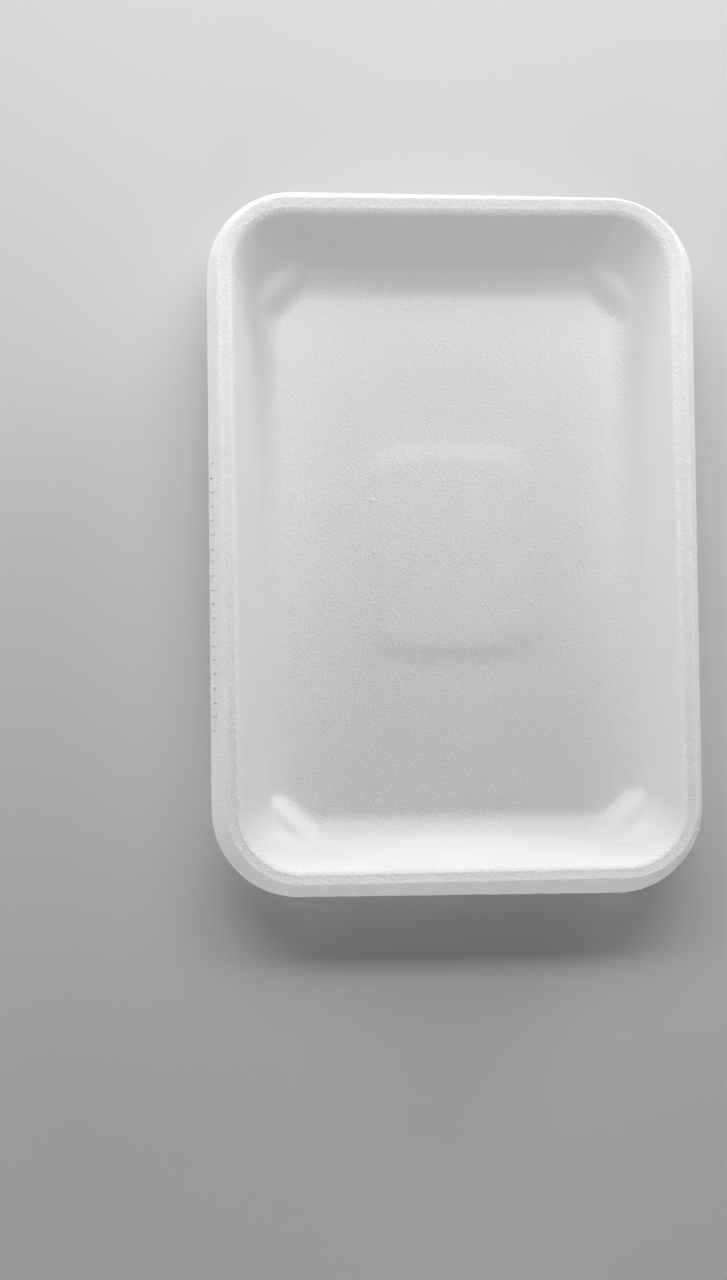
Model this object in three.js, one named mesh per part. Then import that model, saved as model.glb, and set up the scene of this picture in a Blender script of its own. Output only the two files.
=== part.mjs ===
// An empty foam tray for fresh food: one sheet of white expanded foam, pressed into a shallow dish with
// sloping walls, a turned-down rim, and a raised bar across each corner of its floor.
// Millimetres, +Z up. X runs across the tray and Y along it. The origin lies under the middle of
// the floor, on the surface that the tray stands on.

import * as THREE from "three";
import { ParametricGeometry } from "three/addons/geometries/ParametricGeometry.js";

// Outside sizes, over the rim
const LENGTH = 209.6;
const WIDTH = 146.1;
const HEIGHT = 25.4;
const CORNER_RADIUS = 25.8;
const WALL_RADIUS_LOSS = 0.6; // how much tighter the inner wall's corners turn for each mm inwards

// The sheet and the dish. An inset is a distance in from the outline, seen from above.
const SHEET = 4.0;
const WALL_FOOT_INSET = 17.7; // where a side wall's inner face would meet the floor if it had no fillet
const WALL_TOP_INSET = 8.0; // where that face would meet the lip if the crest weren't rounded
const END_WALL_LEAN = 2.6; // how much further in the end walls' feet lie than the side walls'
const FLOOR_FILLET = 9.0;

// The rim: a rounded crest, a narrow lip, a slanting face and a trimmed edge
const LIP_INSET = 4.1;
const CREST_DROP = 0.9; // how far the crest lies under the lip's outer edge
const FACE_FOOT_INSET = 0.3;
const FACE_FOOT_DROP = 6.8;
const EDGE_FOOT_DROP = 8.6;
const UNDER_EDGE_INSET = 1.5;
const UNDER_EDGE_DROP = 9.3;
const CREST_ROUNDING = 2.4;
const LIP_ROUNDING = 0.5;
const LIP_ROUNDED_OFF = 0.0943; // what the rounding takes off the height of the lip's outer edge
const FACE_FOOT_ROUNDING = 0.4;
const GROOVE_ROUNDING = 0.8; // where the rim's underside meets the wall

// The low raised panel in the middle of the floor, measured at its foot and at its top
const PANEL_FOOT = { halfWidth: 27.5, halfLength: 36.6, radius: 9.0 };
const PANEL_TOP = { halfWidth: 18.1, halfLength: 27.2, radius: 5.0 };
const PANEL_RISE = 0.6;

// The bar across each corner: a straight step at 45 degrees to the walls, with a shelf behind its crest
const BAR_DISTANCE = 93.3; // from the middle of the tray to the bar's crest, along the bar's normal
const BAR_CREST_HEIGHT = 8.2;
const BAR_FACE_SLOPE = 1.25; // rise over run of its face towards the floor
const BAR_SHELF_SLOPE = 0.3; // rise over run of the shelf behind the crest
const BAR_CREST_ROUNDING = 1.4;
const BAR_HOLLOW_ROUNDING = 1.0;
const BAR_BLEND = 2.0; // how softly the bar runs into the floor and the walls

// How finely the surface is divided
const CORNER_STEPS = 18;
const END_STEPS = 9;
const SIDE_STEPS = 11;
const LONGEST_WALL_STEP = 2.5;
const BAR_FOOT_RING = { inset: 25.2, radius: 14.0 }; // the floor's ring that runs clear of the bars

// The wall's outer face is the inner one moved out by the sheet's thickness.
const wallTangent = (HEIGHT - CREST_DROP - SHEET) / (WALL_FOOT_INSET - WALL_TOP_INSET);
const wallAngle = Math.atan(wallTangent);
const wallShift = SHEET / Math.sin(wallAngle);
const outerFootInset = WALL_FOOT_INSET - SHEET * Math.tan(wallAngle / 2);
const flatInset = WALL_FOOT_INSET + FLOOR_FILLET * Math.tan(wallAngle / 2);

// The groove under the rim ends where the rim's underside meets the wall's outer face.
const faceSlope = FACE_FOOT_DROP / (LIP_INSET - FACE_FOOT_INSET);
const underEdgeHeight = HEIGHT - UNDER_EDGE_DROP;
const grooveRun =
  ((outerFootInset - UNDER_EDGE_INSET) * wallTangent - underEdgeHeight) / (wallTangent + faceSlope);
const grooveInset = UNDER_EDGE_INSET + grooveRun;
const grooveHeight = underEdgeHeight + grooveRun * faceSlope;

// A corner of the wall's section: where it lies, how round it is, and the steps of its arc.
function corner(inset, height, radius, steps) {
  return { at: new THREE.Vector2(inset, height), radius, steps };
}

const innerSection = [
  corner(flatInset, SHEET, 0, 0),
  corner(WALL_FOOT_INSET, SHEET, FLOOR_FILLET, 5),
  corner(WALL_TOP_INSET, HEIGHT - CREST_DROP, CREST_ROUNDING, 4),
  corner(LIP_INSET, HEIGHT + LIP_ROUNDED_OFF, LIP_ROUNDING, 2),
  corner(FACE_FOOT_INSET, HEIGHT - FACE_FOOT_DROP, FACE_FOOT_ROUNDING, 1),
  corner(0, HEIGHT - EDGE_FOOT_DROP, 0, 0),
];
const outerSection = [
  corner(UNDER_EDGE_INSET, underEdgeHeight, 0, 0),
  corner(grooveInset, grooveHeight, GROOVE_ROUNDING, 2),
  corner(outerFootInset, 0, FLOOR_FILLET + SHEET, 6),
  corner(flatInset, 0, 0, 0),
];

// The points of the arc that rounds one corner between its two neighbours.
function arcAt({ at, radius, steps }, before, after) {
  if (radius === 0) return [at];
  const back = before.clone().sub(at).normalize();
  const onward = after.clone().sub(at).normalize();
  const halfAngle = Math.acos(back.dot(onward)) / 2;
  const middle = back.clone().add(onward).normalize();
  const centre = at.clone().addScaledVector(middle, radius / Math.sin(halfAngle));
  const start = at.clone().addScaledVector(back, radius / Math.tan(halfAngle)).sub(centre);
  const turn = (Math.PI - 2 * halfAngle) * Math.sign(start.cross(onward));
  const pivot = new THREE.Vector2();
  return Array.from({ length: steps + 1 }, (_, i) =>
    start.clone().rotateAround(pivot, (turn * i) / steps).add(centre),
  );
}

// A section's corners as points, with its long straight stretches divided.
function sectionPoints(corners) {
  const rounded = corners.flatMap((c, i) =>
    arcAt(c, corners[Math.max(i - 1, 0)].at, corners[Math.min(i + 1, corners.length - 1)].at),
  );
  const points = [rounded[0]];
  for (const next of rounded.slice(1)) {
    const last = points.at(-1);
    const steps = Math.ceil(last.distanceTo(next) / LONGEST_WALL_STEP);
    for (let i = 1; i <= steps; i++) {
      points.push(last.clone().lerp(next, i / steps));
    }
  }
  return points;
}

// The corners of the rim share one centre with the outline. The wall's corners turn more gently.
function innerRadius(inset) {
  const belowCrest = Math.max(inset - WALL_TOP_INSET, 0);
  return CORNER_RADIUS - (inset - belowCrest) - belowCrest * WALL_RADIUS_LOSS;
}

// The end walls lean by END_WALL_LEAN at the floor's level and by nothing at the lip's. The rim has no lean.
function endLean(inset, height, level) {
  if (inset <= LIP_INSET) return 0;
  return END_WALL_LEAN * THREE.MathUtils.inverseLerp(HEIGHT - SHEET + level, level, height);
}

// A row is one closed ring of the surface: a rounded rectangle at one height.
function insetRow(inset, height, radius, lean) {
  return { halfWidth: WIDTH / 2 - inset, halfLength: LENGTH / 2 - inset - lean, radius, height };
}

// The rows from the middle of the floor out to the foot of the wall, at one level of the sheet.
function floorRows(level) {
  return [
    { halfWidth: 0, halfLength: 0, radius: 0, height: level + PANEL_RISE },
    { ...PANEL_TOP, height: level + PANEL_RISE },
    { ...PANEL_FOOT, height: level },
    insetRow(BAR_FOOT_RING.inset, level, BAR_FOOT_RING.radius, END_WALL_LEAN),
  ];
}

const innerRows = [
  ...floorRows(SHEET),
  ...sectionPoints(innerSection).map((p) =>
    insetRow(p.x, p.y, innerRadius(p.x), endLean(p.x, p.y, SHEET)),
  ),
];
const outerRows = [
  ...sectionPoints(outerSection).map((p) =>
    insetRow(p.x, p.y, innerRadius(p.x + wallShift) + wallShift, endLean(p.x, p.y, 0)),
  ),
  ...floorRows(0).reverse(),
];
const rows = [...innerRows, ...outerRows];

// The stations go round a row: over each rounded corner, and then along the straight side after it, where
// they lie closer together near the corners, by a cosine, because the bars end there.
const stations = [];
for (let quarter = 0; quarter < 4; quarter++) {
  for (let i = 0; i <= CORNER_STEPS; i++) {
    stations.push({ quarter, turn: i / CORNER_STEPS, along: 0 });
  }
  const steps = quarter % 2 === 0 ? END_STEPS : SIDE_STEPS;
  for (let i = 1; i < steps; i++) {
    stations.push({ quarter, turn: 1, along: (1 - Math.cos((Math.PI * i) / steps)) / 2 });
  }
}

// A point on the rounded corner of a row: turn runs from 0 to 1 over the corner's quarter circle.
function cornerPoint(row, quarter, turn) {
  const angle = ((quarter + turn) * Math.PI) / 2;
  const sideX = quarter % 4 === 0 || quarter % 4 === 3 ? 1 : -1;
  const sideY = quarter % 4 < 2 ? 1 : -1;
  return new THREE.Vector2(
    sideX * (row.halfWidth - row.radius) + row.radius * Math.cos(angle),
    sideY * (row.halfLength - row.radius) + row.radius * Math.sin(angle),
  );
}

// The larger of two heights, with a soft passage from one to the other.
function softMaximum(a, b, blend) {
  const overlap = Math.max(blend - Math.abs(a - b), 0) / blend;
  return Math.max(a, b) + (overlap * overlap * blend) / 4;
}

// Each of the bar's two slopes is their mean, plus half their difference in front of the crest and less half
// of it behind.
const barLean = (BAR_FACE_SLOPE + BAR_SHELF_SLOPE) / 2;
const barBend = (BAR_FACE_SLOPE - BAR_SHELF_SLOPE) / 2;

// The height of the bar's surface at a place: the two slopes meet in a rounded crest.
function barHeight(x, y, { distance, crestHeight, rounding }) {
  const across = (Math.abs(x) + Math.abs(y)) / Math.SQRT2 - distance;
  return crestHeight + barLean * across - barBend * (Math.hypot(across, rounding) - rounding);
}

const bar = { distance: BAR_DISTANCE, crestHeight: BAR_CREST_HEIGHT, rounding: BAR_CREST_ROUNDING };

// The hollow under the bar is its face and its shelf let down by the sheet's thickness, square to each.
const faceDrop = SHEET * Math.hypot(1, BAR_FACE_SLOPE);
const shelfDrop = SHEET * Math.hypot(1, BAR_SHELF_SLOPE);
const hollowShift = (faceDrop - shelfDrop) / (BAR_FACE_SLOPE - BAR_SHELF_SLOPE);
const hollow = {
  distance: BAR_DISTANCE + hollowShift,
  crestHeight:
    BAR_CREST_HEIGHT +
    barBend * (BAR_CREST_ROUNDING - BAR_HOLLOW_ROUNDING) +
    BAR_SHELF_SLOPE * hollowShift -
    shelfDrop,
  rounding: BAR_HOLLOW_ROUNDING,
};

function surfacePoint(u, v, target) {
  const rowNumber = Math.round(v * (rows.length - 1));
  const row = rows[rowNumber];
  const stationNumber = Math.round((1 - u) * stations.length) % stations.length; // clockwise: faces out
  const { quarter, turn, along } = stations[stationNumber];
  const place = cornerPoint(row, quarter, turn).lerp(cornerPoint(row, quarter + 1, 0), along);
  const barSide = rowNumber < innerRows.length ? bar : hollow;
  const height = softMaximum(row.height, barHeight(place.x, place.y, barSide), BAR_BLEND);
  target.set(place.x, place.y, height);
}

const foam = new THREE.MeshStandardMaterial({ color: 0xedf0ed, roughness: 0.55, metalness: 0 });

const tray = new THREE.Mesh(
  new ParametricGeometry(surfacePoint, stations.length, rows.length - 1),
  foam,
);
tray.name = "foam_tray";

const part = new THREE.Group();
part.add(tray);

export default part;
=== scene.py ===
import math

import bpy
import numpy as np
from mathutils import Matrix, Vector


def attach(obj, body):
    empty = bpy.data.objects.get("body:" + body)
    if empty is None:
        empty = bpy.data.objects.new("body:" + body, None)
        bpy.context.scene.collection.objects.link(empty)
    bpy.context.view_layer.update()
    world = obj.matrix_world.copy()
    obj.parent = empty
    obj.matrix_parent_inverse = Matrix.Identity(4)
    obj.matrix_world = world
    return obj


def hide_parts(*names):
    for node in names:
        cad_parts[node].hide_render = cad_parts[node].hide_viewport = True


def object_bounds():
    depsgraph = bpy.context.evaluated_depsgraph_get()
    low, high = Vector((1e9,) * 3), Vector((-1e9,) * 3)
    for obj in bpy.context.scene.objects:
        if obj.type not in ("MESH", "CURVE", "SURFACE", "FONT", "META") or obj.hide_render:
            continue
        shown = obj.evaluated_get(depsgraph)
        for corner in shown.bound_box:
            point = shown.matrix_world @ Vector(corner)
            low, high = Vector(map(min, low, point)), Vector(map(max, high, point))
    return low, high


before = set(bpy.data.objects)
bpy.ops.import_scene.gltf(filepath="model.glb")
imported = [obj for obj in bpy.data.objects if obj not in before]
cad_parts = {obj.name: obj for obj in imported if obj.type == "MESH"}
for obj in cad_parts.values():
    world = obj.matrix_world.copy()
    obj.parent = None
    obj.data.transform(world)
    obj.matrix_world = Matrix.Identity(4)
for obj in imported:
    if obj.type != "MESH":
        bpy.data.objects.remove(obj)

# An empty foam food tray, pressed from one sheet of white expanded foam.
# Lengths are in millimetres until a mesh is made. X runs across the tray, Y along it to the far side, Z up.
# An inset is a distance in from the tray's outline, seen from above. A drop is a depth under the tray's top.

MM = 0.001
cad_low, cad_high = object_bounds()
WIDTH, LENGTH, HEIGHT = (cad_high - cad_low) / MM

# The dish
CORNER_RADIUS = 25.8
WALL_RADIUS_LOSS = 0.6  # how much tighter the inner wall's corners turn for each mm inwards
SHEET = 4.0
WALL_FOOT_INSET = 17.7
WALL_TOP_INSET = 8.0
END_WALL_LEAN = 2.6  # how much further in the end walls' feet lie than the side walls'
FLOOR_FILLET = 9.0

# The rim: a rounded crest, a narrow lip, a slanting face and a trimmed edge
LIP_INSET = 4.1
CREST_DROP = 0.9  # how far the crest lies under the lip's outer edge
FACE_FOOT_INSET = 0.3
FACE_FOOT_DROP = 6.8
EDGE_FOOT_DROP = 8.6
UNDER_EDGE_INSET = 1.5
UNDER_EDGE_DROP = 9.3
CREST_ROUNDING = 2.4
LIP_ROUNDING = 0.5
LIP_ROUNDED_OFF = 0.0943  # what the rounding takes off the height of the lip's outer edge
BEAD_INSETS = (7.0, 4.5)  # two fine beads that run round the lip, one along each of its edges
BEAD_RISE = 0.1
BEAD_HALF_WIDTH = 0.32
FACE_FOOT_ROUNDING = 0.4
GROOVE_ROUNDING = 0.8

# The low raised panel in the middle of the floor
PANEL_HALF_WIDTH = 18.1
PANEL_HALF_LENGTH = 27.2
PANEL_RADIUS = 5.0
PANEL_MIDDLE_Y = 0.8
PANEL_SLOPE_WIDTH = 8.4
PANEL_RISE = 0.68
PANEL_SIDE_EASE = 0.62  # how much gentler its side slopes are than its end slopes

# The bar across each corner: a straight step at 45 degrees to the walls, with a shelf behind its crest
BAR_DISTANCE = 93.3
BAR_CREST_HEIGHT = 8.2
BAR_FACE_SLOPE = 1.25
BAR_SHELF_SLOPE = 0.3
BAR_CREST_ROUNDING = 1.4
BAR_HOLLOW_ROUNDING = 1.0
BAR_BLEND = 2.0
BAR_FOOT_INSET = 25.2
BAR_FOOT_RADIUS = 14.0

# How finely the sheet's skin is divided
CORNER_STEPS = 52
END_STEPS = 62
SIDE_STEPS = 98
FLOOR_STEP = 0.6
WALL_STEP = 0.85
LIP_STEP = 0.22
OUTER_STEP = 1.8
FLOOR_ROWS = (8, 12, 6, 4)  # in the panel, on its slope, out to the bars' feet, and on to the wall's fillet

# How uneven the sheet is: a height, the longest wave's length and the seed of its draws
FLOOR_UNEVENNESS, FLOOR_WAVE, FLOOR_SEED = 0.05, 40, 3
EDGE_UNEVENNESS, EDGE_WAVE, EDGE_SEED = 0.12, 9, 11
EDGE_UNEVEN_WIDTH = 2.5  # how far in from the outline the edge wanders
EVEN_UNDER_TOP = 6.0  # the floor's unevenness eases off over this depth under the tray's top

# How far askew of the pressed dish the edge is trimmed
TRIM_SHIFT = (-0.3, 0.4)
TRIM_TURN = math.radians(-0.5)


# ---------------------------------------------------------------- the section through the sheet

def arc(at, before, after, radius, steps):
    """Points of the arc that rounds a corner: its centre lies on the corner's bisector, radius / sin(half
    the corner's angle) away, and its points turn about it by equal angles. With no radius it is the corner."""
    if radius == 0:
        return at[None]
    back = (before - at) / np.linalg.norm(before - at)
    onward = (after - at) / np.linalg.norm(after - at)
    half_angle = math.acos(back @ onward) / 2
    middle = (back + onward) / np.linalg.norm(back + onward)
    centre = at + middle * radius / math.sin(half_angle)
    start = at + back * radius / math.tan(half_angle) - centre
    side = np.sign(start[0] * onward[1] - start[1] * onward[0])
    angle = np.linspace(0, side * (math.pi - 2 * half_angle), steps + 1)[:, None]
    across = np.array([-start[1], start[0]])
    return centre + np.cos(angle) * start + np.sin(angle) * across


def section(corners):
    """Rows (inset, height) along a section: its corners (inset, height, radius, arc steps, longest step)
    rounded by arcs, then every stretch divided evenly into steps no longer than its first corner allows."""
    places = np.array([c[:2] for c in corners], float)
    before = np.vstack([places[:1], places[:-1]])
    after = np.vstack([places[1:], places[-1:]])
    arcs = [arc(p, b, a, c[2], c[3]) for p, b, a, c in zip(places, before, after, corners)]
    points = np.concatenate(arcs)
    longest = np.concatenate([np.full(len(a), c[4]) for a, c in zip(arcs, corners)])[:-1]
    lengths = np.linalg.norm(np.diff(points, axis=0), axis=1)
    counts = np.maximum(np.ceil(lengths / longest), 1).astype(int)
    first = np.repeat(np.cumsum(counts) - counts, counts)
    part = (np.arange(counts.sum()) - first) / np.repeat(counts, counts)
    start = np.repeat(points[:-1], counts, axis=0)
    stop = np.repeat(points[1:], counts, axis=0)
    return np.vstack([start + (stop - start) * part[:, None], points[-1:]])


# The wall's outer face is the inner one moved out by the sheet's thickness, and the groove under the rim
# ends where the rim's underside meets it.
wall_tangent = (HEIGHT - CREST_DROP - SHEET) / (WALL_FOOT_INSET - WALL_TOP_INSET)
wall_angle = math.atan(wall_tangent)
wall_shift = SHEET / math.sin(wall_angle)
outer_foot_inset = WALL_FOOT_INSET - SHEET * math.tan(wall_angle / 2)
flat_inset = WALL_FOOT_INSET + FLOOR_FILLET * math.tan(wall_angle / 2)
face_slope = FACE_FOOT_DROP / (LIP_INSET - FACE_FOOT_INSET)
under_edge_height = HEIGHT - UNDER_EDGE_DROP
groove_rise = (outer_foot_inset - UNDER_EDGE_INSET) * wall_tangent - under_edge_height
groove_run = groove_rise / (wall_tangent + face_slope)
groove_inset = UNDER_EDGE_INSET + groove_run
groove_height = under_edge_height + groove_run * face_slope

inner_section = section([
    (flat_inset, SHEET, 0, 0, FLOOR_STEP),
    (WALL_FOOT_INSET, SHEET, FLOOR_FILLET, 12, WALL_STEP),
    (WALL_TOP_INSET, HEIGHT - CREST_DROP, CREST_ROUNDING, 12, LIP_STEP),
    (LIP_INSET, HEIGHT + LIP_ROUNDED_OFF, LIP_ROUNDING, 4, WALL_STEP),
    (FACE_FOOT_INSET, HEIGHT - FACE_FOOT_DROP, FACE_FOOT_ROUNDING, 3, WALL_STEP),
    (0, HEIGHT - EDGE_FOOT_DROP, 0, 0, WALL_STEP),
])
outer_section = section([
    (UNDER_EDGE_INSET, under_edge_height, 0, 0, OUTER_STEP),
    (groove_inset, groove_height, GROOVE_ROUNDING, 4, OUTER_STEP),
    (outer_foot_inset, 0, FLOOR_FILLET + SHEET, 8, OUTER_STEP),
    (flat_inset, 0, 0, 0, OUTER_STEP),
])


# ---------------------------------------------------------------- rings of the skin

def inner_radius(inset):
    """Corner radius of the inner face: the outline's less the inset as far as the crest, and less
    WALL_RADIUS_LOSS for each mm past it."""
    past_crest = np.maximum(inset - WALL_TOP_INSET, 0)
    return CORNER_RADIUS - np.minimum(inset, WALL_TOP_INSET) - WALL_RADIUS_LOSS * past_crest


def rings_at(rows, radius, lean):
    """Rings (half width, half length, radius, height) of section rows (inset, height). The ends lie further
    in than the sides by the lean."""
    inset, height = rows.T
    return np.stack([WIDTH / 2 - inset, LENGTH / 2 - inset - lean, radius, height], axis=1)


def end_lean(rows, level):
    """END_WALL_LEAN at the floor's level, and in proportion to the depth under the tray's top above it. The
    rim's own rows have none."""
    inset, height = rows.T
    depth = (HEIGHT - SHEET + level - height) / (HEIGHT - SHEET)
    return np.where(inset > LIP_INSET, END_WALL_LEAN * np.clip(depth, 0, 1), 0)


def floor_rings(level, wall_ring):
    """Rings of the flat floor from its middle outwards, evenly spaced between five named ones."""
    grown = PANEL_SLOPE_WIDTH
    named = np.array([
        (0, 0, 0, level),
        (PANEL_HALF_WIDTH, PANEL_HALF_LENGTH, PANEL_RADIUS, level),
        (PANEL_HALF_WIDTH + grown, PANEL_HALF_LENGTH + grown, PANEL_RADIUS + grown, level),
        (WIDTH / 2 - BAR_FOOT_INSET, LENGTH / 2 - BAR_FOOT_INSET - END_WALL_LEAN, BAR_FOOT_RADIUS, level),
        wall_ring,
    ])
    part = np.concatenate([i + np.arange(n) / n for i, n in enumerate(FLOOR_ROWS)])[1:]
    whole = np.arange(len(named))
    return np.stack([np.interp(part, whole, column) for column in named.T], axis=1)


def stations():
    """Stations once round a ring: its quarter, the turn over the quarter's corner (0 to 1) and the part of the
    side after it."""
    quarters = []
    for quarter, steps in enumerate((END_STEPS, SIDE_STEPS) * 2):
        turn = np.concatenate([np.arange(CORNER_STEPS + 1) / CORNER_STEPS, np.ones(steps - 1)])
        along = np.concatenate([np.zeros(CORNER_STEPS + 1), np.arange(1, steps) / steps])
        quarters.append(np.stack([np.full(len(turn), quarter), turn, along]))
    return np.concatenate(quarters, axis=1)


def corner_points(rings, quarter, turn):
    """Places (x, y) on the rounded corners of rings: corner's centre + radius x (cos, sin) of the angle."""
    half_width, half_length, radius = (rings[:, i, None] for i in range(3))
    angle = (quarter + turn) * math.pi / 2
    side_x = np.where((quarter % 4 == 0) | (quarter % 4 == 3), 1, -1)
    side_y = np.where(quarter % 4 < 2, 1, -1)
    x = side_x * (half_width - radius) + radius * np.cos(angle)
    y = side_y * (half_length - radius) + radius * np.sin(angle)
    return np.stack([x, y])


def smooth(t):
    """3t² - 2t³, held between 0 and 1."""
    t = np.clip(t, 0, 1)
    return t * t * (3 - 2 * t)


def soft_maximum(a, b, blend):
    """The larger of two heights, plus blend x overlap² / 4 where they differ by less than the blend."""
    overlap = np.maximum(blend - np.abs(a - b), 0) / blend
    return np.maximum(a, b) + overlap**2 * blend / 4


def bar_height(x, y, distance, crest_height, rounding):
    """Height of the bar's surface: crest + mean slope x across - half the slopes' difference x
    (hypot(across, rounding) - rounding), where across is the distance past the crest."""
    across = (np.abs(x) + np.abs(y)) / math.sqrt(2) - distance
    lean = (BAR_FACE_SLOPE + BAR_SHELF_SLOPE) / 2
    bend = (BAR_FACE_SLOPE - BAR_SHELF_SLOPE) / 2
    return crest_height + lean * across - bend * (np.hypot(across, rounding) - rounding)


def hollow_bar():
    """Distance, crest height and rounding of the hollow under the bar: face and shelf let down by the sheet's
    thickness, each square to itself, which also moves the line where they meet."""
    face_drop = SHEET * math.hypot(1, BAR_FACE_SLOPE)
    shelf_drop = SHEET * math.hypot(1, BAR_SHELF_SLOPE)
    shift = (face_drop - shelf_drop) / (BAR_FACE_SLOPE - BAR_SHELF_SLOPE)
    bend = (BAR_FACE_SLOPE - BAR_SHELF_SLOPE) / 2
    crest = BAR_CREST_HEIGHT + bend * (BAR_CREST_ROUNDING - BAR_HOLLOW_ROUNDING) + BAR_SHELF_SLOPE * shift
    return BAR_DISTANCE + shift, crest - shelf_drop, BAR_HOLLOW_ROUNDING


def panel_height(x, y):
    """The panel's rise: full inside its top's rounded rectangle, and eased to nothing over its slope's width,
    which is wider at its sides than at its ends."""
    past_x = PANEL_SIDE_EASE * (np.abs(x) - PANEL_HALF_WIDTH) + PANEL_RADIUS
    past_y = np.abs(y - PANEL_MIDDLE_Y) - PANEL_HALF_LENGTH + PANEL_RADIUS
    outside = np.hypot(np.maximum(past_x, 0), np.maximum(past_y, 0)) - PANEL_RADIUS
    return PANEL_RISE * (1 - smooth(outside / PANEL_SLOPE_WIDTH))


def ripple(x, y, longest, seed):
    """Soft unevenness between -1 and 1: the mean of eight cosine waves in drawn directions, longest to a
    third of it in length."""
    draw = np.random.default_rng(seed)
    total = np.zeros_like(x)
    for _ in range(8):
        heading, phase = draw.uniform(0, 2 * math.pi, 2)
        wave = 2 * math.pi / draw.uniform(longest / 3, longest)
        total += np.cos(wave * (x * math.cos(heading) + y * math.sin(heading)) + phase)
    return total / 8


# A small crescent fold in the near right corner's wall
CRESCENT_CENTRE = (48.4, -82.8)
CRESCENT_RADIUS = 8.0
CRESCENT_HALF_ANGLE = math.radians(48)
CRESCENT_RISE = 0.7
CRESCENT_EDGE = 0.9  # the width over which it rises
CRESCENT_FADE = 3.5


def crescent_fold(x, y):
    """Rise of the crescent: steepest at its arc, fading over CRESCENT_FADE towards its centre and by
    cos² towards its two ends."""
    dx, dy = x - CRESCENT_CENTRE[0], y - CRESCENT_CENTRE[1]
    inwards = CRESCENT_RADIUS - np.hypot(dx, dy)
    turn = np.arctan2(dx, -dy) / CRESCENT_HALF_ANGLE
    ends = np.cos(np.clip(turn, -1, 1) * math.pi / 2) ** 2
    fade = np.exp(-np.maximum(inwards, 0) / CRESCENT_FADE)
    return CRESCENT_RISE * ends * smooth(inwards / CRESCENT_EDGE) * fade


def rim_beads(inset):
    """Rise of the lip's two beads: rise x exp(-(distance from the bead / half width)²)."""
    return sum(BEAD_RISE * np.exp(-((inset - middle) / BEAD_HALF_WIDTH) ** 2) for middle in BEAD_INSETS)


def trimmed(x, y, inset):
    """Where a point of the rim lies once the edge is trimmed a little askew of the pressed dish: turned by
    TRIM_TURN and moved by TRIM_SHIFT, whole at the edge and in proportion up to the lip."""
    share = np.clip(1 - inset / LIP_INSET, 0, 1)
    turn = TRIM_TURN * share
    turned_x = x * np.cos(turn) - y * np.sin(turn)
    turned_y = x * np.sin(turn) + y * np.cos(turn)
    return turned_x + TRIM_SHIFT[0] * share, turned_y + TRIM_SHIFT[1] * share


def tray_skin():
    """The sheet's whole skin as points (rings x stations x 3), and its rings' insets. A point's place comes
    from its ring and station; its height is the ring's, raised by the panel and by the corner's bar."""
    outer_radius = inner_radius(outer_section[:, 0] + wall_shift) + wall_shift
    inner = rings_at(inner_section, inner_radius(inner_section[:, 0]), end_lean(inner_section, SHEET))
    outer = rings_at(outer_section, outer_radius, end_lean(outer_section, 0))
    top_floor = floor_rings(SHEET, inner[0])
    under_floor = floor_rings(0, outer[-1])[::-1]
    rings = np.vstack([top_floor, inner, outer, under_floor])
    inside = np.arange(len(rings))[:, None] < len(top_floor) + len(inner)

    inset = (WIDTH / 2 - rings[:, 0])[:, None]
    quarter, turn, along = stations()
    here = corner_points(rings, quarter, turn)
    onward = corner_points(rings, quarter + 1, np.zeros_like(turn))
    x, y = here + (onward - here) * along
    z = np.broadcast_to(rings[:, 3, None], x.shape)

    bar = np.where(
        inside,
        bar_height(x, y, BAR_DISTANCE, BAR_CREST_HEIGHT, BAR_CREST_ROUNDING),
        bar_height(x, y, *hollow_bar()),
    )
    z = soft_maximum(z + panel_height(x, y), bar, BAR_BLEND)
    uneven = FLOOR_UNEVENNESS * ripple(x, y, FLOOR_WAVE, FLOOR_SEED) * smooth((HEIGHT - z) / EVEN_UNDER_TOP)
    z = z + np.where(inside, uneven, 0)
    z = z + np.where(inside, crescent_fold(x, y), 0)
    z = z + np.where(inside, rim_beads(inset), 0)

    # The edge wanders in and out, on the whole inwards.
    at_edge = smooth(1 - inset / EDGE_UNEVEN_WIDTH)
    wander = EDGE_UNEVENNESS * (ripple(x, y, EDGE_WAVE, EDGE_SEED) - 0.5) * at_edge
    bearing = np.arctan2(y, x)
    x, y = trimmed(x, y, inset)
    return np.stack([x + wander * np.cos(bearing), y + wander * np.sin(bearing), z], axis=-1), inset


# ---------------------------------------------------------------- meshes

def ring_triangles(rows, count, first=0):
    """Triangles between neighbouring rings of a grid of points, each quad cut in two, with faces outwards."""
    here = first + np.arange(rows * count).reshape(rows, count)
    beside = np.roll(here, -1, axis=1)
    near, near_on, far_on, far = here[:-1], beside[:-1], beside[1:], here[1:]
    return np.stack([near, far, far_on, near, far_on, near_on], axis=-1).reshape(-1, 3)


def cap_triangles(ring, pole, upwards):
    """A fan of triangles from a pole to its ring."""
    beside = np.roll(ring, -1)
    pair = (ring, beside) if upwards else (beside, ring)
    return np.stack([np.full(len(ring), pole), *pair], axis=-1)


def closed_skin(grid, first_pole, last_pole, first=0):
    """Points and triangles of a skin closed by two poles: the grid's points ring by ring, then the poles."""
    rows, count = grid.shape[:2]
    points = np.vstack([grid.reshape(-1, 3), first_pole, last_pole])
    ring = first + np.arange(count)
    pole = first + rows * count
    triangles = np.vstack([
        ring_triangles(rows, count, first),
        cap_triangles(ring, pole, True),
        cap_triangles(ring + (rows - 1) * count, pole + 1, False),
    ])
    return points, triangles


def make_piece(name, points, triangles, material):
    """A mesh object of these points, in millimetres, that rides on the tray's body."""
    mesh = bpy.data.meshes.new(name)
    mesh.from_pydata(points * MM, [], triangles)
    mesh.polygons.foreach_set("use_smooth", np.ones(len(triangles), bool))
    mesh.materials.append(material)
    mesh.update()
    piece = bpy.data.objects.new(name, mesh)
    bpy.context.scene.collection.objects.link(piece)
    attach(piece, "root")
    return piece


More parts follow.
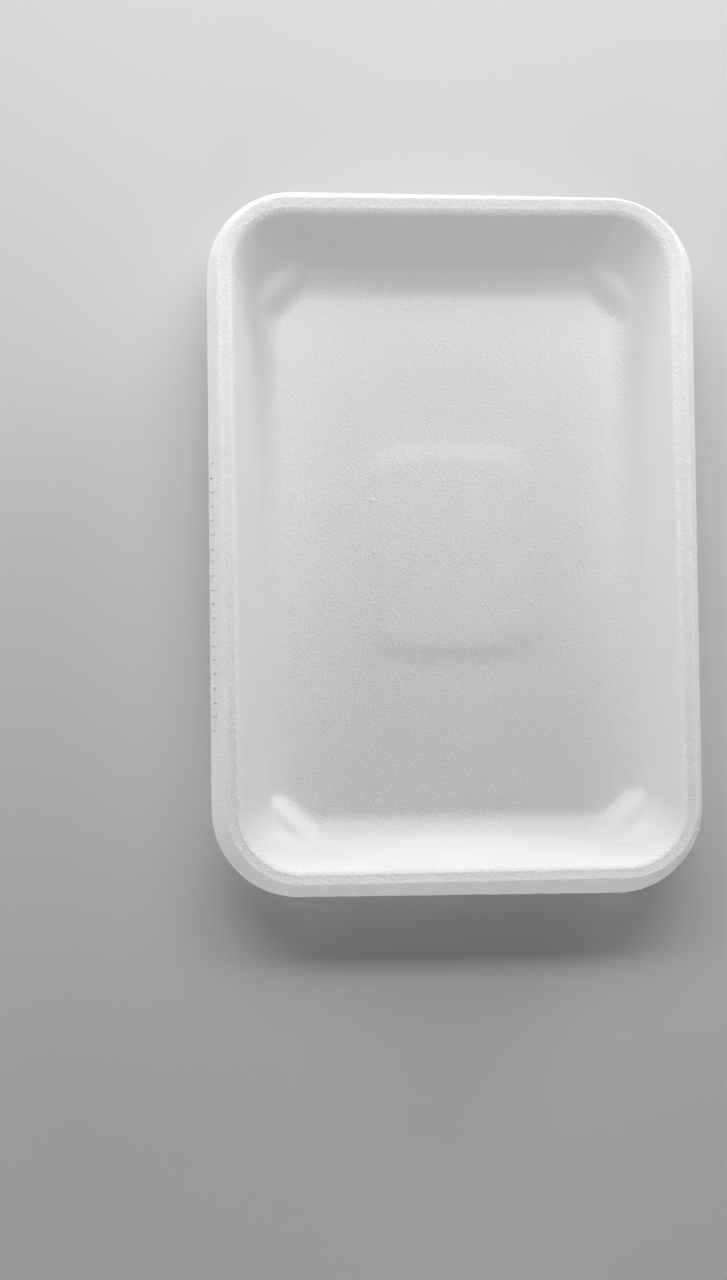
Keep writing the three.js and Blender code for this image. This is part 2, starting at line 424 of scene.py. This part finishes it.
def add_point_values(piece, name, values):
    """A number for each point of a piece, which its material reads by name."""
    attribute = piece.data.attributes.new(name, "FLOAT", "POINT")
    attribute.data.foreach_set("value", values.astype(np.float32))


def make_tray(material):
    """The tray itself, with three numbers for each point: how grainy its skin is, how far it is cut foam, and
    how far it belongs to the rim. The walls are smoother than the floor, and the trimmed edge is cut."""
    grid, inset = tray_skin()
    points, triangles = closed_skin(grid, (0, 0, SHEET + PANEL_RISE), (0, 0, PANEL_RISE))
    tray = make_piece("pressed_tray", points, triangles, material)

    height = grid[..., 2]
    on_wall = smooth((inset - WALL_TOP_INSET) / 1.5) * smooth((height - SHEET - 1) / 3)
    on_edge = smooth((FACE_FOOT_INSET + 0.5 - inset) / 0.4) * smooth((height - under_edge_height + 0.5) / 0.5)
    on_rim = smooth((WALL_TOP_INSET + 0.8 - inset) / 1.2)
    numbers = {
        "grain": 1 - 0.8 * on_wall,
        "cut": on_edge,
        "rim": on_rim * np.ones_like(height),
    }
    for name, values in numbers.items():
        at_poles = [name == "grain"] * 2
        add_point_values(tray, name, np.append(values.ravel(), at_poles))
    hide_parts("foam_tray")


def pebble(centre, along, across, up, rows=8, count=16):
    """A small closed ellipsoid: centre + sin(v) (cos(u) along + sin(u) across) + cos(v) up."""
    v = (np.arange(1, rows) / rows * math.pi)[:, None, None]
    u = (np.arange(count) / count * 2 * math.pi)[None, :, None]
    centre, along, across, up = (np.array(a, float) for a in (centre, along, across, up))
    grid = centre + np.sin(v) * (np.cos(u) * along + np.sin(u) * across) + np.cos(v) * up
    return grid, centre + up, centre - up


def make_pebbles(name, pebbles, material):
    """Many small ellipsoids joined in one mesh."""
    points, triangles, first = [], [], 0
    for grid, top, bottom in pebbles:
        new_points, new_triangles = closed_skin(grid, top, bottom, first)
        points.append(new_points)
        triangles.append(new_triangles)
        first += len(new_points)
    return make_piece(name, np.vstack(points), np.vstack(triangles), material)


# ---------------------------------------------------------------- small marks on the skin

VENT_RADIUS = 0.8
VENT_RISE = 0.12
VENT_MIDDLE_Y = 0.9
VENT_INNER_X, VENT_INNER_PITCH = 24.1, 16.0
VENT_OUTER_X, VENT_OUTER_Y = 40.0, 8.0


def vent_marks():
    """The small round marks that the mould's vents leave on the floor: two columns on each side."""
    inner = [(side * VENT_INNER_X, row * VENT_INNER_PITCH) for side in (-1, 1) for row in (-1, 0, 1)]
    outer = [(side * VENT_OUTER_X, row * VENT_OUTER_Y) for side in (-1, 1) for row in (-1, 1)]
    for x, off_middle in inner + outer:
        y = off_middle + VENT_MIDDLE_Y
        level = SHEET + float(panel_height(np.array(x), np.array(y)))
        yield pebble((x, y, level), (VENT_RADIUS, 0, 0), (0, VENT_RADIUS, 0), (0, 0, VENT_RISE))


RIB_COUNT = 20
RIB_SEED = 5
RIB_FAR_Y, RIB_NEAR_Y = 22.9, -55.5
RIB_INSET = 1.15
RIB_HALF_LENGTH = 1.25
RIB_HALF_WIDTH = 0.5
RIB_RISE = 0.42


def face_height(inset):
    """Height of the rim's slanting face at an inset."""
    return HEIGHT - FACE_FOOT_DROP + (inset - FACE_FOOT_INSET) * face_slope


def rib_on_face(place, bearing, half_length, half_width, rise):
    """A pebble that lies down the rim's slanting face. The bearing points away from the tray."""
    outwards = np.array([math.cos(bearing), math.sin(bearing), 0])
    upwards = np.array([0, 0, 1])
    down_face = (outwards - face_slope * upwards) / math.hypot(1, face_slope)
    off_face = (face_slope * outwards + upwards) / math.hypot(1, face_slope)
    sideways = np.cross(off_face, down_face)
    return pebble(place, down_face * half_length, sideways * half_width, off_face * rise)


def trim_ribs():
    """The short ribs that the trimming tool's teeth leave along the left side's outer face."""
    draw = np.random.default_rng(RIB_SEED)
    for y in np.linspace(RIB_FAR_Y, RIB_NEAR_Y, RIB_COUNT):
        inset = RIB_INSET + draw.uniform(-0.1, 0.2)
        x, y = trimmed(-WIDTH / 2 + inset, y + draw.uniform(-0.25, 0.25), inset)
        sizes = np.array([RIB_HALF_LENGTH, RIB_HALF_WIDTH, RIB_RISE]) * draw.uniform(0.8, 1.2, 3)
        yield rib_on_face((x, y, face_height(inset)), math.pi, *sizes)


NICK_BEARING = math.radians(-18.5)  # about the near right corner's centre
NICK_INSET = 2.4
NICK_SIZES = (1.5, 0.4, 0.6)  # half length, half width and rise of its long rib
NICK_TIP_SIZES = (0.7, 0.5, 0.6)
NICK_TIP_TURN = 0.6


def rim_nick():
    """The small torn flap on the near right corner's outer face: a long thin rib, and a short one askew at
    its end."""
    reach = CORNER_RADIUS - NICK_INSET
    along = np.array([math.cos(NICK_BEARING), math.sin(NICK_BEARING)])
    middle = np.array([WIDTH / 2 - CORNER_RADIUS, CORNER_RADIUS - LENGTH / 2]) + reach * along
    place = np.append(trimmed(*middle, NICK_INSET), face_height(NICK_INSET))
    tip = place + np.array([0.7 * along[0], 0.7 * along[1] + 0.25, -0.9])
    yield rib_on_face(place, NICK_BEARING, *NICK_SIZES)
    yield rib_on_face(tip, NICK_BEARING + NICK_TIP_TURN, *NICK_TIP_SIZES)


# ---------------------------------------------------------------- materials

# What the foam looks like. The amount of grain runs from AMOUNT[0] on the walls to AMOUNT[1] on the rim.
AMOUNT = (0.2, 1.9)
NOISE = (0.3, 0.7)  # where most of a noise's values lie
CELLS_PER_METRE = 1250.0
SPECKS_PER_METRE = 1500.0
CLOUDS_PER_METRE = 70.0
# The rim's tone is paler than the inside's: a painted glow for light that soaks through the thin lip.
TONE_INSIDE, RIM_TONE_WITH_PAINTED_GLOW = 0.87, 0.965
TINT_RED, TINT_BLUE = 0.99, 0.985  # of the green
# How strong the flecks are, from the walls to the rim: the cells' own mottling with painted micro-shade in
# their pits, and painted sparkle on the rim.
MOTTLE_AND_PAINTED_GRAIN_SHADE = (0.008, 0.06)
CLOUD = 0.008
RELIEF_DEPTH = 0.0002
RELIEF = (0.06, 1.0)
ROUGHNESS = (0.42, 0.5)
SOAKING_DEPTH = 0.0016  # how far light soaks into the rim, in metres


def new_material(name):
    """An empty node material: its tree, its shader and a function that adds a linked node."""
    material = bpy.data.materials.new(name)
    material.use_nodes = True
    tree = material.node_tree
    shader = tree.nodes["Principled BSDF"]

    def add(kind, links=(), **values):
        node = tree.nodes.new(kind)
        for key, value in values.items():
            if hasattr(node, key):
                setattr(node, key, value)
            else:
                node.inputs[key.replace("_", " ")].default_value = value
        for socket, source in links:
            tree.links.new(source, node.inputs[socket])
        return node

    return material, tree, shader, add


def foam_material():
    """White expanded foam: a satin skin over fine flattened cells, coarser on the rim and where it is cut.
    Light soaks a little way into the rim, and the rim's paler colour is a painted glow for that light. The
    cells' flecks carry painted micro-shade and painted sparkle as well as their own mottling."""
    material, tree, shader, add = new_material("expanded_foam")
    place = add("ShaderNodeTexCoord").outputs["Object"]
    names = ("grain", "cut", "rim")
    grain, cut, rim = (add("ShaderNodeAttribute", attribute_name=name).outputs["Fac"] for name in names)

    def between(value, low, high, from_low=0.0, from_high=1.0):
        """A value stretched from one range to another."""
        node = add("ShaderNodeMapRange", [("Value", value)])
        ends = {"From Min": from_low, "From Max": from_high, "To Min": low, "To Max": high}
        for socket, number in ends.items():
            node.inputs[socket].default_value = number
        return node.outputs[0]

    def combine(kind, a, b, c=None):
        """Two or three numbers combined by one operation; plain numbers are set on the node itself."""
        node = add("ShaderNodeMath", operation=kind)
        for socket, value in enumerate((a, b, c)):
            if isinstance(value, (int, float)):
                node.inputs[socket].default_value = value
            elif value is not None:
                tree.links.new(value, node.inputs[socket])
        return node.outputs[0]

    at = [("Vector", place)]
    cells = add("ShaderNodeTexVoronoi", at, feature="SMOOTH_F1", Scale=CELLS_PER_METRE, Smoothness=0.4)
    specks = add("ShaderNodeTexNoise", at, Scale=SPECKS_PER_METRE, Detail=2.0, Roughness=0.6)
    clouds = add("ShaderNodeTexNoise", at, Scale=CLOUDS_PER_METRE, Detail=3.0, Roughness=0.5)

    coarse = combine("MAXIMUM", cut, rim)
    relief = combine("ADD", cells.outputs["Distance"], specks.outputs["Fac"])
    amount = combine("MULTIPLY_ADD", coarse, 0.9, grain)
    strength = between(amount, *RELIEF, *AMOUNT)
    bump = add("ShaderNodeBump", [("Height", relief), ("Strength", strength)], Distance=RELIEF_DEPTH)

    speck = between(specks.outputs["Fac"], -1.0, 1.0, *NOISE)
    # Flecks of the cells: mottling plus painted micro-shade and painted sparkle.
    mottle_and_painted_grain_shade = combine("MULTIPLY", speck, between(amount, *MOTTLE_AND_PAINTED_GRAIN_SHADE, *AMOUNT))
    cloud = between(clouds.outputs["Fac"], -CLOUD, CLOUD, *NOISE)
    # The base tone: flecks and clouds, over a rim painted paler as a painted glow.
    tone = combine("ADD", combine("ADD", mottle_and_painted_grain_shade, cloud), between(rim, TONE_INSIDE, RIM_TONE_WITH_PAINTED_GLOW))
    colour = add("ShaderNodeCombineColor", [
        ("Red", combine("MULTIPLY", tone, TINT_RED)),
        ("Green", tone),
        ("Blue", combine("MULTIPLY", tone, TINT_BLUE)),
    ])
    tree.links.new(colour.outputs[0], shader.inputs["Base Color"])
    tree.links.new(rim, shader.inputs["Subsurface Weight"])
    shader.inputs["Subsurface Radius"].default_value = (1, 1, 1)
    shader.inputs["Subsurface Scale"].default_value = SOAKING_DEPTH
    tree.links.new(between(amount, *ROUGHNESS, *AMOUNT), shader.inputs["Roughness"])
    tree.links.new(bump.outputs["Normal"], shader.inputs["Normal"])
    return material


def floor_material():
    """A plain pale matt surface."""
    material, _, shader, _ = new_material("pale_floor")
    shader.inputs["Base Color"].default_value = (0.7, 0.7, 0.7, 1)
    shader.inputs["Roughness"].default_value = 0.9
    return material


# ---------------------------------------------------------------- stage, camera and light

def make_floor():
    """A flat square just under the tray, in metres."""
    half_side, drop = 1.5, 0.0001
    mesh = bpy.data.meshes.new("floor")
    corners = [(x * half_side, y * half_side, -drop) for x, y in ((-1, -1), (1, -1), (1, 1), (-1, 1))]
    mesh.from_pydata(corners, [], [(0, 1, 2, 3)])
    mesh.materials.append(floor_material())
    floor = bpy.data.objects.new("floor", mesh)
    bpy.context.scene.collection.objects.link(floor)


# The camera hangs over the near left part of the tray and looks almost straight down.
CAMERA_PLACE = (-43.0, -96.6, 414.7)
CAMERA_TURN = (1.46, -3.54, -1.23)
FOCAL_PIXELS = 1347
PRINCIPAL_POINT = (402, 837.4)
FRAME_PIXELS = (727, 1280)
SENSOR = 36.0


def make_camera():
    """The camera at the photograph's viewing angle. Its focal length and shift are in parts of the frame's
    long side, as its sensor is."""
    long_side = max(FRAME_PIXELS)
    data = bpy.data.cameras.new("camera")
    data.sensor_width = SENSOR
    data.lens = FOCAL_PIXELS / long_side * SENSOR
    data.shift_x = (FRAME_PIXELS[0] / 2 - PRINCIPAL_POINT[0]) / long_side
    data.shift_y = (PRINCIPAL_POINT[1] - FRAME_PIXELS[1] / 2) / long_side
    data.clip_start, data.clip_end = 0.01, 10
    camera = bpy.data.objects.new("camera", data)
    camera.location = [c * MM for c in CAMERA_PLACE]
    camera.rotation_euler = [math.radians(a) for a in CAMERA_TURN]
    bpy.context.scene.collection.objects.link(camera)
    bpy.context.scene.camera = camera


def soft_light(name, bearing, rise, distance, width, height, power, spread=180):
    """A flat light that faces the tray: its place is distance x (cos r cos b, cos r sin b, sin r) for a
    bearing b from +X and a rise r above the floor, in metres and degrees. Its spread is the angle that its
    light fans out to."""
    b, r = math.radians(bearing), math.radians(rise)
    data = bpy.data.lights.new(name, "AREA")
    data.shape = "RECTANGLE"
    data.size, data.size_y = width, height
    data.energy = power
    data.spread = math.radians(spread)
    light = bpy.data.objects.new(name, data)
    across_floor = distance * math.cos(r)
    light.location = (across_floor * math.cos(b), across_floor * math.sin(b), distance * math.sin(r))
    light.rotation_euler = light.location.to_track_quat("Z", "Y").to_euler()
    light.visible_camera = False
    bpy.context.scene.collection.objects.link(light)


# Each light's name, bearing, rise, distance, width, height and power. A long soft light hangs over the far
# side and weak ones stand around. The low strips are narrow in spread and reach only the rim's outer faces.
SOFT_LIGHTS = (
    ("far_high", 90, 55, 0.45, 0.6, 0.08, 1.073),
    ("far_middle", 90, 45, 0.45, 0.6, 0.08, 0.326),
    ("far_low", 90, 35, 0.45, 0.6, 0.08, 0.256),
    ("far_right_glow", 50, 12, 1.0, 0.45, 0.2, 3.094),
    ("far_left_glow", 130, 12, 1.0, 0.45, 0.2, 1.881),
    ("left_glow", 180, 12, 1.0, 0.45, 0.2, 1.074),
    ("near_fill", 270, 30, 1.0, 0.45, 0.45, 1.01),
    ("near_glow", 270, 12, 1.0, 0.45, 0.2, 1.229),
)
LOW_STRIPS = (
    ("near_low_strip", 270, 1.2, 0.6, 0.6, 0.025, 0.045),
    ("right_low_strip", 0, 1.2, 0.6, 0.6, 0.025, 0.042),
    ("left_low_strip", 180, 1.2, 0.6, 0.6, 0.025, 0.024),
)
LOW_STRIP_SPREAD = 40
SURROUND_BY_HEIGHT = ((0.0, 0.564), (0.13, 0.564), (0.2, 0.02), (0.64, 0.01))


def make_lights():
    """The soft lights, and a pale surround that is brightest near the horizon."""
    for settings in SOFT_LIGHTS:
        soft_light(*settings)
    for settings in LOW_STRIPS:
        soft_light(*settings, spread=LOW_STRIP_SPREAD)

    world = bpy.data.worlds.new("surround")
    world.use_nodes = True
    bpy.context.scene.world = world
    tree = world.node_tree
    direction = tree.nodes.new("ShaderNodeTexCoord")
    split = tree.nodes.new("ShaderNodeSeparateXYZ")
    ramp = tree.nodes.new("ShaderNodeValToRGB")
    tree.links.new(direction.outputs["Generated"], split.inputs[0])
    tree.links.new(split.outputs["Z"], ramp.inputs[0])
    tree.links.new(ramp.outputs[0], tree.nodes["Background"].inputs["Strength"])
    stops = ramp.color_ramp.elements
    stops.remove(stops[1])
    stops[0].color = (*[SURROUND_BY_HEIGHT[0][1]] * 3, 1)
    for height, strength in SURROUND_BY_HEIGHT[1:]:
        stops.new(height).color = (strength, strength, strength, 1)
    tree.nodes["Background"].inputs["Color"].default_value = (1, 1, 1, 1)


make_camera()
make_floor()
make_lights()
bpy.context.scene.view_settings.view_transform = "Standard"
foam = foam_material()
make_tray(foam)
make_pebbles("vent_marks", vent_marks(), foam)
make_pebbles("trim_ribs", trim_ribs(), foam)
make_pebbles("rim_nick", rim_nick(), foam)
